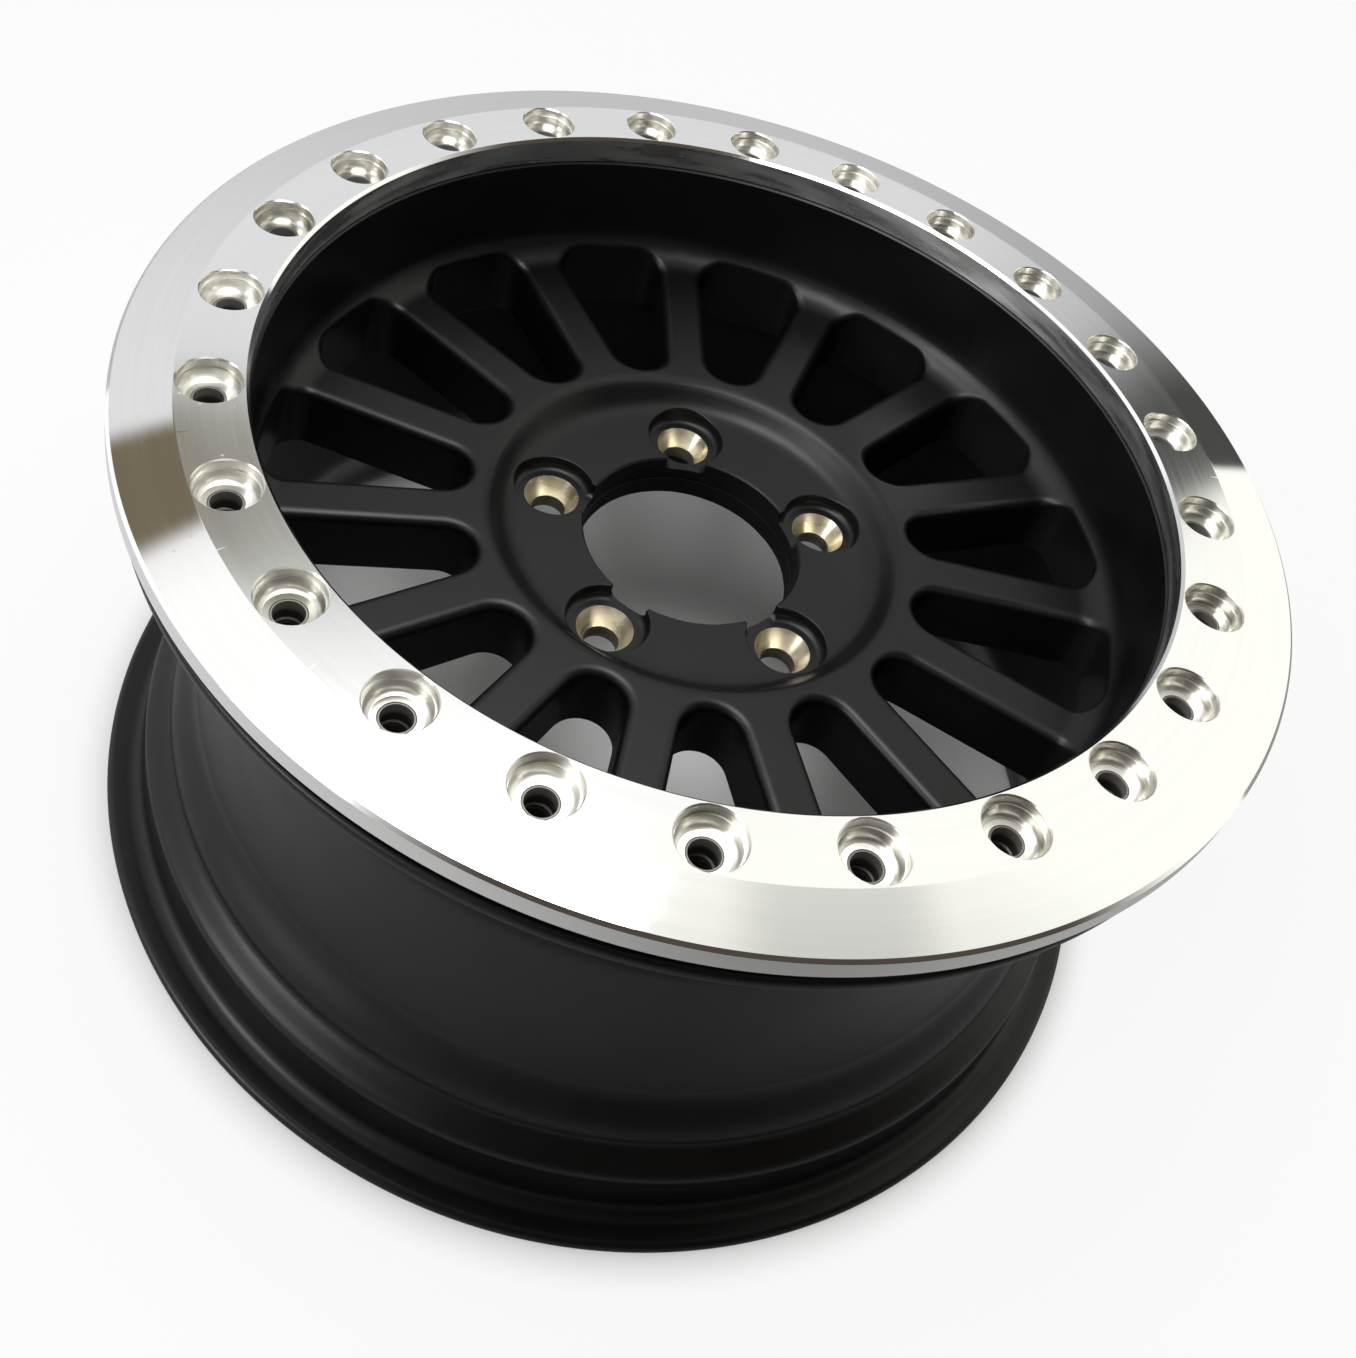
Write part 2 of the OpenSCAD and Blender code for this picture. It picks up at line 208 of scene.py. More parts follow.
# %% [markdown]
# ## A window in the disc
#
# The spokes are what is left between fifteen windows. A window has a full round at its inner end,
# sides that run parallel to the spokes, two round corners and an outer end that follows the dish.
# Its front edge is rounded as if a ball of 4 mm had rolled along it. Cutting that with a boolean
# would leave a ragged seam, so the surface of one spoke's share of the disc is worked out instead:
# a grid runs from the window's edge to the middle of the spokes on both sides.

# %% Plan of half a window
HALF = 180 / SPOKE_N
SIN_H, COS_H = math.sin(math.radians(HALF)), math.cos(math.radians(HALF))
APEX = SPOKE_W / 2 / SIN_H
END_X = (WINDOW_IN - APEX * SIN_H) / (1 - SIN_H)
END_R = END_X - WINDOW_IN
CORNER_AT = WINDOW_OUT - CORNER_R
CORNER_A = HALF - math.degrees(math.asin((SPOKE_W / 2 + CORNER_R) / CORNER_AT))
NORMAL_A = HALF + 90
BORDER_STEPS = (12, 4, 6, 10, 7, 5)


def direction(degrees):
    """Unit vectors at these angles."""
    a = np.radians(degrees)
    return np.stack([np.cos(a), np.sin(a)], -1)


def half_window():
    """Points and outward directions along half a window, from its inner to its outer end."""
    way = [np.linspace(180, 134.6, 13), np.linspace(134.6, NORMAL_A, 5)[1:]]
    ends = np.concatenate(way)
    side_0 = np.array([END_X, 0]) + END_R * np.array([-SIN_H, COS_H])
    corner = CORNER_AT * direction(CORNER_A)
    side_1 = corner + CORNER_R * np.array([-SIN_H, COS_H])
    straight = side_0 + (side_1 - side_0) * np.linspace(0, 1, 7)[1:-1, None]
    corners = np.concatenate([np.linspace(NORMAL_A, 50, 11), np.linspace(50, CORNER_A, 8)[1:]])
    outer = np.linspace(CORNER_A, 0, 6)[1:]
    points = np.concatenate([
        np.array([END_X, 0]) + END_R * direction(ends),
        straight,
        corner + CORNER_R * direction(corners),
        WINDOW_OUT * direction(outer),
    ])
    normals = np.concatenate([ends, np.full(5, NORMAL_A), corners, outer])
    along = [side_0 @ [COS_H, SIN_H], side_1 @ [COS_H, SIN_H]]
    return points, direction(normals), along


def both_halves(half, mirror=(1, -1)):
    """A closed loop from half of one: the half, then its mirror image on the way back."""
    return np.concatenate([half, half[-2:0:-1] * np.array(mirror)])


window_half, normal_half, ALONG = half_window()
WINDOW = both_halves(window_half)
WINDOW_NORMAL = both_halves(normal_half)
print("window outline:", len(WINDOW), "points; inner end radius", round(END_R, 2), "mm")

# %% The face of a spoke, up into the dish
INNER_R = STEP_OUT


def face(wall_r, fillet, stop):
    """A disc face that is flat and then bends up by a fillet into a wall, as functions.

    Distance s along the face gives radius and height; radius gives s, height and slope.
    """
    bend_r = wall_r - fillet
    flat = bend_r - INNER_R

    def at(s):
        b = np.clip((s - flat) / fillet, 0, None)
        return np.where(s < flat, INNER_R + s, bend_r + fillet * np.sin(b)), fillet * (1 - np.cos(b))

    def of(r):
        b = np.arcsin(np.clip((r - bend_r) / fillet, 0, 1))
        return np.where(r < bend_r, r - INNER_R, flat + fillet * b), fillet * (1 - np.cos(b)), b

    return at, of, flat + fillet * math.radians(stop)


def disc_patch(wall_r, fillet, stop, edge, edge_steps):
    """Grid from a window's edge to the middle of the spokes: first the ball's arc, then the face.

    The ball of radius edge touches the upright wall and the face at its own slope; the rest of the
    grid mixes evenly, in distance and angle, to the border of this window's share of the disc.
    """
    at, of, last = face(wall_r, fillet, stop)
    radius = np.linalg.norm(WINDOW, axis=1)
    _, height, bend = of(radius)
    slope = np.arctan(np.tan(bend) * (WINDOW_NORMAL * WINDOW).sum(1) / radius)
    centre_z = height + edge * np.tan(slope) - edge / np.cos(slope)
    share = np.linspace(0, 1, edge_steps + 1)[:, None]
    turn = share * (np.pi / 2 - slope)
    plan = WINDOW + (edge * (1 - np.cos(turn)))[..., None] * WINDOW_NORMAL
    up = centre_z + edge * np.sin(turn)
    end_s, end_up, _ = of(np.linalg.norm(plan[-1], axis=1))
    up = up + (end_up - up[-1]) * share ** 2
    end_a = np.degrees(np.arctan2(plan[-1, :, 1], plan[-1, :, 0]))
    marks = np.array([0, of(ALONG[0])[0], of(ALONG[1])[0], last])
    n = BORDER_STEPS
    half_s = np.concatenate([np.zeros(n[0]), np.linspace(marks[0], marks[1], n[1] + 1)[:-1],
        of(np.linspace(ALONG[0], ALONG[1], n[2] + 1)[:-1])[0], np.linspace(marks[2], last, n[3] + 1)[:-1],
        np.full(n[4] + n[5] + 1, last)])
    half_a = np.concatenate([np.linspace(0, HALF, n[0] + 1)[:-1], np.full(n[1] + n[2] + n[3], HALF),
        np.linspace(HALF, n[5], n[4] + 1)[:-1], np.linspace(n[5], 0, n[5] + 1)])
    border = both_halves(np.stack([half_s, half_a], -1))
    rows = mixed(np.stack([end_s, end_a], -1), border, [0.05, 0.3, 0.6, 0.93, 1])
    r, z = at(rows[..., 0])
    arc_part = np.concatenate([plan, up[..., None]], -1)
    return np.concatenate([arc_part, polar(r, rows[..., 1], z)])


FRONT_STOP, BACK_STOP = 70, 60
front = disc_patch(DISH_R, DISH_FILLET, FRONT_STOP, EDGE_R, 6)
back = disc_patch(WELL_R - WALL, BACK_FILLET, BACK_STOP, BACK_EDGE, 3)
front[..., 2] += SPOKE_Z
back[..., 2] = BACK_Z - back[..., 2]
lean = np.array([[0], [0.012], [0.988], [1]])
wall_z = front[0, :, 2] + (back[0, :, 2] - front[0, :, 2]) * lean
window_wall = np.concatenate([np.broadcast_to(WINDOW, (4, *WINDOW.shape)), wall_z[..., None]], -1)
print("front patch", front.shape, "back patch", back.shape)

# %% [markdown]
# ## The turned rim
#
# The barrel, the flanges and the step round the hub are turned on a lathe, so each is one section
# carried round the axle. The section follows the standard bead seat: a round heel, a seat at five
# degrees and a low hump that keeps the tyre on it.

# %% Section of the rim
SEAT_END = SEAT_R - (23 - 4 - 6.5) * math.tan(math.radians(5))
HUMP_R = SEAT_END + 0.8
VALVE_Z = SPOKE_Z + VALVE_UP
BLOCK = (VALVE_Z - 7.0, VALVE_Z + 7.0)
SHOULDER_R, SHOULDER_Z = SEAT_R - 4, CLAMP_Z - CLAMP_T - 10
BELL_R = SEAT_END - WALL


def dish_radius(z):
    """Radius of the dish at height z: the fillet's arc, and above it the upright wall."""
    below = np.clip(SPOKE_Z + DISH_FILLET - z, 0, DISH_FILLET)
    return DISH_R - DISH_FILLET + np.sqrt(DISH_FILLET ** 2 - below ** 2)


def barrel_radius(z):
    """Radius of the barrel's outside between the shoulder and the well, half a cosine."""
    t = np.clip((SHOULDER_Z - z) / (SHOULDER_Z - BACK_Z), 0, 1)
    return SHOULDER_R + (WELL_R - SHOULDER_R) * (1 - np.cos(np.pi * t)) / 2


stop = math.radians(FRONT_STOP)
dish_start = SPOKE_Z + DISH_FILLET * (1 - math.cos(stop))
low_z = np.array([dish_start, BLOCK[0]])
high_z = np.array([BLOCK[1], BLOCK[1] + 4, BOLT_Z - TURNED - 1, BOLT_Z - TURNED])
block_z = np.linspace(*BLOCK, 5)
dish_low, dish_block = at_heights(dish_radius, low_z), at_heights(dish_radius, block_z)
dish_high = np.concatenate([at_heights(dish_radius, high_z), line((DISH_R + TURNED, BOLT_Z))])
clamp_top = np.concatenate([
    line((SEAT_R - TURNED, BOLT_Z), (SEAT_R, BOLT_Z - TURNED), (SEAT_R, BOLT_Z - TURNED - 0.4)),
    arc(SEAT_R + TURNED, CLAMP_Z + TURNED, TURNED, 180, 270, 5),
    line((SEAT_R + 2, CLAMP_Z), (CLAMP_R - 2.4, CLAMP_Z)),
    arc(CLAMP_R - 2, CLAMP_Z - 2, 2, 90, 0, 6),
    arc(CLAMP_R - 2, CLAMP_Z - CLAMP_T + 2, 2, 0, -90, 6),
    line((CLAMP_R - 2.4, CLAMP_Z - CLAMP_T), (SHOULDER_R + 7.4, CLAMP_Z - CLAMP_T)),
    arc(SHOULDER_R + 7, CLAMP_Z - CLAMP_T - 7, 7, 90, 180, 7),
])
print("valve block from", round(BLOCK[0], 2), "to", round(BLOCK[1], 2), "mm")

# %% Section of the barrel and the inboard flange
barrel_z = np.array([SHOULDER_Z, *np.linspace(BLOCK[1], BLOCK[0], 5), *np.linspace(BLOCK[0], BACK_Z, 11)[1:]])
barrel_top = np.concatenate([
    line((SHOULDER_R, CLAMP_Z - CLAMP_T - 7)), at_heights(barrel_radius, barrel_z[:2])])
barrel_block = at_heights(barrel_radius, barrel_z[1:6])
LEDGE_Z = BEAD_Z + 23 + 4 + 8
barrel = np.concatenate([
    at_heights(barrel_radius, barrel_z[5:]),
    ease((WELL_R, LEDGE_Z + 22), (LEDGE_R, LEDGE_Z), 8),
    ease((LEDGE_R, BEAD_Z + 34), (HUMP_R, BEAD_Z + 24), 7),
    ease((HUMP_R, BEAD_Z + 22), (SEAT_END, BEAD_Z + 19), 4),
    line((SEAT_R - 0.04, BEAD_Z + 7)),
    arc(SEAT_R + 6.5, BEAD_Z + 6.5, 6.5, 180, 270, 8),
    line((SEAT_R + 7, BEAD_Z)),
    arc(FLANGE_R - FLANGE_T / 2, FLANGE_T / 2, FLANGE_T / 2, 90, -90, 10),
    line((FLANGE_R - FLANGE_T / 2 - 0.5, 0), (BELL_R + 4.5, 0)),
    arc(BELL_R + 4, 4, 4, 270, 180, 5),
    ease((BELL_R, BEAD_Z + 3.5), (WELL_R - WALL, LEDGE_Z + 24.5), 10),
    arc(WELL_R - WALL - BACK_FILLET, BACK_Z - BACK_FILLET, BACK_FILLET, 0, 90 - BACK_STOP, 4),
])
print("barrel section:", len(barrel) + len(barrel_block) + len(barrel_top), "points")

# %% Section of the step round the hub
spare = FOOT_ARC + TOP_ARC - STEP_RISE
flank = math.degrees(math.asin((FOOT_ARC + TOP_ARC) / math.hypot(STEP_OUT - STEP_START, spare))
    - math.atan2(spare, STEP_OUT - STEP_START))
step_curve = np.concatenate([
    arc(STEP_START, HUB_Z + FOOT_ARC, FOOT_ARC, -90, flank - 90, 18),
    arc(STEP_OUT, SPOKE_Z - TOP_ARC, TOP_ARC, 90 + flank, 90, 18),
])


def step_height(r):
    """Height of the hub at radius r: flat, then a hollow arc, a straight flank and a rounded top."""
    return np.interp(r, step_curve[:, 0], step_curve[:, 1])


# Rows of the step: every second point of the rounded top, then a few down the flank to STEP_IN,
# where the hub face takes over.
STEP_IN, TOP_FROM, FLANK_ROWS = 82.0, 24, 4
step_r = np.concatenate([step_curve[:TOP_FROM - 1:-2, 0], np.linspace(step_curve[TOP_FROM, 0], STEP_IN, FLANK_ROWS)])
step = np.stack([step_r, step_height(step_r)], -1)
print("flank of the hub's step", round(flank, 1), "degrees")
pad_step = line((PAD_R, PAD_Z), (PAD_R + RELIEF, BACK_Z), (INNER_R, BACK_Z))
print("rim section:", len(barrel) + len(clamp_top) + len(dish_high), "points")

# %% [markdown]
# ## Holes in a turned face
#
# A hole drilled in a turned face breaks its grid. The share of the face round one hole is filled
# by a grid of its own: its inner border is the hole, its outer border is that share's outline, and
# each point of the hole looks straight at its partner on the outline.

# %% Share of a ring face with one hole
def share_border(r0, r1, half_angle, steps_round, steps_out):
    """Outline of a share of a ring, anticlockwise from the inner border, as radius and angle."""
    a = np.linspace(-half_angle, half_angle, steps_round + 1)
    r = np.linspace(r0, r1, steps_out + 1)
    radius = np.concatenate([np.full(steps_round, r0), r[:-1], np.full(steps_round, r1), r[:0:-1]])
    angle = np.concatenate([a[:-1], np.full(steps_out, half_angle), a[:0:-1], np.full(steps_out, -half_angle)])
    return np.stack([radius, angle], -1)


def circle(centre_r, r, look, z):
    """Circle round a point at centre_r on the X axis, at the angles that are looked along."""
    return np.stack([centre_r + r * np.cos(look), r * np.sin(look), np.full(len(look), z)], -1)


def face_round_hole(r0, r1, half_angle, centre_r, hole_r, z, look, shares, steps=(15, 6)):
    """Grid between a hole at centre_r on the X axis and its share's outline, at height z."""
    border = share_border(r0, r1, half_angle, *steps)
    outline = polar(border[:, 0], border[:, 1], z)
    return mixed(circle(centre_r, hole_r, look, z), outline, shares)


def look_angles(r0, r1, half_angle, centre_r, steps=(15, 6)):
    """Angles at which a hole's centre sees the points of its share's outline."""
    border = share_border(r0, r1, half_angle, *steps)
    outline = polar(border[:, 0], border[:, 1], 0)
    return np.arctan2(outline[:, 1], outline[:, 0] - centre_r)


def drilled(section, look):
    """A hole's wall: each (r, z) of its section is carried round the hole at the given angles."""
    r, z = section[:, None, 0], section[:, None, 1]
    return np.stack(np.broadcast_arrays(r * np.cos(look), r * np.sin(look), z), -1)


BOLT_LOOK = look_angles(DISH_R + TURNED, SEAT_R - TURNED, 7.5, BOLT_R)
bolt_face = face_round_hole(DISH_R + TURNED, SEAT_R - TURNED, 7.5, BOLT_R, INSERT_R + 0.05, BOLT_Z, BOLT_LOOK,
    [0, 0.5, 1])
hole_end = BOLT_Z - INSERT_L
insert_hole = drilled(line((INSERT_R + 0.05, BOLT_Z), (INSERT_R + 0.05, hole_end), (0, hole_end)), BOLT_LOOK)
print("bolt face share", bolt_face.shape)


# %% The valve hole, drilled along a radius
def valve_patch(radius_at):
    """Grid between the valve hole and a block of the wall's own grid, in angle and height."""
    half_a = 4.0
    border = share_border(BLOCK[0], BLOCK[1], half_a, 8, 4)
    outline = np.stack([border[:, 1], border[:, 0]], -1)
    reach = np.radians(outline[:, 0]) * radius_at(outline[:, 1])
    look = np.arctan2(outline[:, 1] - VALVE_Z, reach)
    z = VALVE_Z + VALVE_R * np.sin(look)
    a = np.degrees(np.arcsin(VALVE_R * np.cos(look) / radius_at(z)))
    rows = mixed(np.stack([a, z], -1), outline, [0, 0.1, 0.5, 0.9, 1])
    return polar(radius_at(rows[..., 1]), rows[..., 0], rows[..., 1])


valve_in, valve_out = valve_patch(dish_radius), valve_patch(barrel_radius)
around_valve = np.linspace(VALVE_A + 4, VALVE_A + 356, 353)
everywhere = np.arange(360)
print("valve hole is", round(float(valve_out[0, 0, 0] - valve_in[0, 0, 0]), 1), "mm deep")

# %% [markdown]
# ## The hub
#
# Five pockets are milled into the hub face. Each opens into the centre bore, has a filleted floor
# and holds a conical seat for its nut. The pocket's outline is drawn at one height after another:
# low down it is drawn in by the fillet, at the top it is let out by a small rounded lip.

# %% Outline of a pocket at one height
HUB_LIP_Z = HUB_Z - BORE_CHAMFER
ROUND_POCKET = 44


def bore_edge(z):
    """Radius of the cap recess at height z, with the chamfer at its mouth."""
    return CAP_R + np.clip(z - HUB_LIP_Z, 0, BORE_CHAMFER)


def half_pocket(inset, z):
    """From the bore along the slot's side, then round the pocket to its far point."""
    r, w, bore = POCKET_R - inset, SLOT_W / 2 - inset, bore_edge(z)
    start = math.degrees(math.pi - math.asin(w / r))
    first = np.array([[math.sqrt(bore ** 2 - w ** 2), w]])
    rest = np.array([LUG_R, 0]) + r * direction(np.linspace(start, 0, ROUND_POCKET + 1))
    return np.concatenate([first, rest])


def open_loop(half):
    """An open curve from half of one: the half and its mirror image."""
    return np.concatenate([half, half[-2::-1] * np.array([1, -1])])


def on_step(points):
    """The same points, raised where the foot of the step reaches them, and less down a pocket's wall."""
    x, y, z = np.moveaxis(points, -1, 0)
    share = np.clip((z - POCKET_Z - POCKET_FILLET) / (HUB_LIP_Z - POCKET_Z - POCKET_FILLET), 0, 1)
    return np.stack([x, y, z + share * (step_height(np.hypot(x, y)) - HUB_Z)], -1)


fillet_turn = np.radians(np.linspace(0, 90, 7))
lip_turn = np.radians(np.linspace(0, 90, 5))
LEVELS = np.concatenate([
    np.stack([POCKET_FILLET * (1 - np.sin(fillet_turn)), POCKET_Z + POCKET_FILLET * (1 - np.cos(fillet_turn))], -1),
    line((0, HUB_LIP_Z)),
    np.stack([-LIP * (1 - np.cos(lip_turn)), HUB_Z - LIP + LIP * np.sin(lip_turn)], -1),
])
pocket_wall = on_step(np.stack([
    np.concatenate([open_loop(half_pocket(d, z)), np.full((2 * ROUND_POCKET + 3, 1), z)], -1) for d, z in LEVELS
]))
print("pocket wall", pocket_wall.shape)

# %% Hub face, bore and pocket floor
BAND = np.array([0, 0.04, 0.2, 0.5, 0.66, 0.76, 0.84, 0.92, 1])
LUG_HALF = 180 / LUG_N
ROUND_LUG = 37


def half_border(r0, r1, steps_out):
    """Outline of half a lug's share of the hub: out along its side, then round its outer border."""
    r = np.concatenate([np.linspace(r0, r1, steps_out + 1)[:-1], np.full(ROUND_LUG, r1)])
    a = np.concatenate([np.full(steps_out, LUG_HALF), np.linspace(LUG_HALF, 0, ROUND_LUG)])
    return r, a


top = half_pocket(-LIP, HUB_Z)
share_r, share_a = half_border(bore_edge(HUB_Z), STEP_IN, ROUND_POCKET + 2 - ROUND_LUG)
start = np.stack([np.linalg.norm(top, axis=1), np.degrees(np.arctan2(top[:, 1], top[:, 0]))], -1)
rows = mixed(open_loop(start), open_loop(np.stack([share_r, share_a], -1)), BAND)
hub_face = on_step(polar(rows[..., 0], rows[..., 1], HUB_Z))

slot_a = np.degrees(np.arcsin((SLOT_W / 2 - LEVELS[:, 0]) / bore_edge(LEVELS[:, 1])))
band_a = slot_a[:, None] + (LUG_HALF - slot_a[:, None]) * BAND
band = polar(bore_edge(LEVELS[:, 1])[:, None], band_a, LEVELS[:, 1][:, None])
opening_a = np.linspace(0, slot_a[0], 5)
half_bore = np.concatenate([opening_a[:-1], band_a[0]])
BORE_ANGLES = np.concatenate([-half_bore[:0:-1], half_bore])
bore = line((CAP_R, POCKET_Z), (CAP_R, CAP_Z), (BORE_R, CAP_Z), (BORE_R, PAD_Z + BORE_CHAMFER),
    (BORE_R + BORE_CHAMFER, PAD_Z))
print("hub face", hub_face.shape, "bore columns", len(BORE_ANGLES))

# %% Floor, conical seat and the back of the hub
floor_half = np.concatenate([polar(CAP_R, opening_a, 0)[:-1, :2], half_pocket(POCKET_FILLET, POCKET_Z)])
floor_edge = both_halves(floor_half)
LUG_LOOK = np.arctan2(floor_edge[:, 1], floor_edge[:, 0] - LUG_R)
mouth = circle(LUG_R, SEAT_MOUTH, LUG_LOOK, POCKET_Z)[:, :2]
floor_plan = mixed(mouth, floor_edge, [0, 0.1, 0.5, 0.9, 1])
floor = np.concatenate([floor_plan, np.full((*floor_plan.shape[:2], 1), POCKET_Z)], -1)
CONE_Z = POCKET_Z - (SEAT_MOUTH - LUG_HOLE) / math.tan(math.radians(30))
seat = drilled(line((SEAT_MOUTH, POCKET_Z), (SEAT_MOUTH - 0.2, POCKET_Z - 0.35),
    (LUG_HOLE + 0.2, CONE_Z + 0.35), (LUG_HOLE, CONE_Z)), LUG_LOOK)
lug_hole = drilled(line((LUG_HOLE, CONE_Z), (LUG_HOLE, PAD_Z + 0.5), (LUG_HOLE + 0.5, PAD_Z)), LUG_LOOK)
bore_out = BORE_R + BORE_CHAMFER
pad_r = np.concatenate([np.full(len(half_bore), bore_out), np.full(ROUND_LUG, PAD_R)])
pad_a = np.concatenate([half_bore, np.linspace(LUG_HALF, 0, ROUND_LUG)])
pad_border = both_halves(np.stack([pad_r, pad_a], -1))
pad_outline = polar(pad_border[:, 0], pad_border[:, 1], PAD_Z)
pad_face = mixed(circle(LUG_R, LUG_HOLE + 0.5, LUG_LOOK, PAD_Z), pad_outline, [0, 0.05, 0.95, 1])
print("seat cone from", round(POCKET_Z, 2), "down to", round(CONE_Z, 2), "mm")

# %% [markdown]
# ## The wheel in one skin
#
# Now every grid is copied round the axle as often as it occurs, and the borders are welded. If the
# sizes agree, no edge stays open: that is the test that the skin is as closed as the solid.

# %% Assemble the wheel body
POWDER, BARE, DULL = 0, 1, 2
wheel_skin = Skin()
for k in range(SPOKE_N):
    turn = 90 + HALF + 2 * HALF * k
    for grid in (front, window_wall, back):
        wheel_skin.add(turned(grid, turn), POWDER, loop=True)
for section in (dish_low, dish_high, clamp_top, barrel_top, barrel, step, pad_step):
    wheel_skin.add(revolve(section, everywhere), POWDER, loop=True)
for block, patch in ((dish_block, valve_in), (barrel_block, valve_out)):
    wheel_skin.add(revolve(block, around_valve), POWDER)
    wheel_skin.add(turned(patch, VALVE_A), POWDER, loop=True)
wheel_skin.add(turned(mixed(valve_in[0], valve_out[0], [0, 0.03, 0.97, 1]), VALVE_A), POWDER, loop=True)
for k in range(BOLT_N):
    turn = BOLT_PHASE + k * 360 / BOLT_N
    wheel_skin.add(turned(bolt_face, turn), POWDER, loop=True)
    wheel_skin.add(turned(insert_hole, turn, (BOLT_R, 0)), DULL, loop=True)
for k in range(LUG_N):
    turn = 90 + k * 360 / LUG_N
    for grid in (pocket_wall, hub_face, band, band * np.array([1, -1, 1])):
        wheel_skin.add(turned(grid, turn), POWDER)
    wheel_skin.add(turned(revolve(bore, BORE_ANGLES), turn), POWDER)
    wheel_skin.add(turned(floor, turn), POWDER, loop=True)
    wheel_skin.add(turned(pad_face, turn), POWDER, loop=True)
    for grid, finish in ((seat, BARE), (lug_hole, DULL)):
        wheel_skin.add(turned(grid, turn, (LUG_R, 0)), finish, loop=True)
wheel_body = wheel_skin.object("wheel_body")
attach(wheel_body, "root")
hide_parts("wheel")

# %% [markdown]
# ## The clamp ring
#
# The ring is turned from plate: a flat face, a shallow cone to its rim and small chamfers. Each of
# its 24 holes is bored in two steps with a filleted floor for the bolt's head.

# %% Build the clamp ring
flat_in, flat_out = RING_IN + IN_CHAMFER, CONE_R
under_in, under_out = RING_IN + TURNED, RING_OUT - TURNED
rim_z = RING_Z - CONE_DROP
cone_slope = CONE_DROP / (RING_OUT - RIM_CHAMFER - CONE_R)
ring_outside = line((CONE_R, RING_Z), (CONE_R + 0.3, RING_Z - 0.3 * cone_slope),
    (RING_OUT - RIM_CHAMFER - 0.2, rim_z + 0.2 * cone_slope), (RING_OUT - RIM_CHAMFER, rim_z),
    (RING_OUT, rim_z - RIM_CHAMFER), (RING_OUT, BOLT_Z + TURNED), (RING_OUT - TURNED, BOLT_Z))
ring_inside = line((under_in, BOLT_Z), (RING_IN, BOLT_Z + TURNED), (RING_IN, RING_Z - IN_CHAMFER))
ring_edge = line((RING_IN, RING_Z - IN_CHAMFER), (flat_in, RING_Z))
RING_LOOK = look_angles(flat_in, flat_out, 7.5, BOLT_R)
RING_SHARES = [0, 0.04, 0.3, 0.65, 0.97, 1]
ring_top = face_round_hole(flat_in, flat_out, 7.5, BOLT_R, CBORE_R + MOUTH, RING_Z, RING_LOOK, RING_SHARES)
ring_under = face_round_hole(under_in, under_out, 7.5, BOLT_R, COLLAR_R + COLLAR_GAP, BOLT_Z, RING_LOOK,
    RING_SHARES)
counterbore = drilled(np.concatenate([
    line((CBORE_R + MOUTH, RING_Z), (CBORE_R, RING_Z - MOUTH), (CBORE_R, RING_Z - CBORE_STEP),
        (HEAD_R, RING_Z - CBORE_STEP), (HEAD_R, COLLAR_Z + HEAD_FILLET + 0.1)),
    arc(HEAD_R - HEAD_FILLET, COLLAR_Z + HEAD_FILLET, HEAD_FILLET, 0, -90, 7),
    line((HEAD_R - HEAD_FILLET - 0.1, COLLAR_Z), (COLLAR_R + COLLAR_GAP, COLLAR_Z), (COLLAR_R + COLLAR_GAP, BOLT_Z)),
]), RING_LOOK)
FACED, BORED, RING_BORE = 0, 1, 2
ring_skin = Skin()
for section, finish in ((ring_outside, FACED), (ring_edge, FACED), (ring_inside, RING_BORE)):
    ring_skin.add(revolve(section, everywhere), finish, loop=True)
for k in range(BOLT_N):
    turn = BOLT_PHASE + k * 360 / BOLT_N
    for grid in (ring_top, ring_under):
        ring_skin.add(turned(grid, turn), FACED, loop=True)
    ring_skin.add(turned(counterbore, turn, (BOLT_R, 0)), BORED, loop=True)
clamp_ring = ring_skin.object("clamp_ring")
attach(clamp_ring, "root")
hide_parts("beadlock_ring")

# %% [markdown]
# ## The thread inserts
#
# Down each hole a steel sleeve shows: a smooth entry, then the thread. The thread is a ridge that
# climbs one pitch per turn, so the radius is a zigzag of height minus turn. At both ends the zigzag
# fades, as a real thread runs out in its chamfer.

# %% Build one insert and copy it round the ring
PITCH, RIDGE = 1.588, 0.55


def thread_wall(z0, z1, columns, rows):
    """Radius = thread radius + ridge times a zigzag of (height / pitch - turn), faded at the ends."""
    turn = np.arange(columns) / columns
    z = np.linspace(z0, z1, rows)[:, None]
    zigzag = np.abs(((z / PITCH - turn) % 1) * 2 - 1)
    fade = np.clip(np.minimum((z0 - z), (z - z1)) / 0.8, 0, 1)
    r = THREAD_R + RIDGE * (zigzag - 0.5) * fade
    return np.stack(np.broadcast_arrays(r * np.cos(turn * 2 * np.pi), r * np.sin(turn * 2 * np.pi), z), -1)


round_insert = np.linspace(0, 2 * np.pi, 33)[:-1]
body_z = BOLT_Z - INSERT_L
thread_top = COLLAR_Z - ENTRY_L
entry = drilled(line((COLLAR_R, BOLT_Z), (COLLAR_R, COLLAR_Z - 0.4), (COLLAR_R - 0.4, COLLAR_Z), (ENTRY_R, COLLAR_Z),
    (ENTRY_R, thread_top), (THREAD_R, thread_top - 0.4)), round_insert)
thread = thread_wall(thread_top - 0.4, body_z, 32, 46)
outside = drilled(line((THREAD_R, body_z), (INSERT_R, body_z), (INSERT_R, BOLT_Z), (COLLAR_R, BOLT_Z)), round_insert)
inserts = []
for k in range(BOLT_N):
    sleeve = Skin()
    for grid in (entry, thread, outside):
        sleeve.add(turned(grid, BOLT_PHASE + k * 360 / BOLT_N, (BOLT_R, 0)), loop=True)
    piece = sleeve.object(f"insert_sleeve_{k + 1:02d}")
    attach(piece, "root")
    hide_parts(f"thread_insert_{k + 1:02d}")
    inserts.append(piece)
print(len(inserts), "inserts")

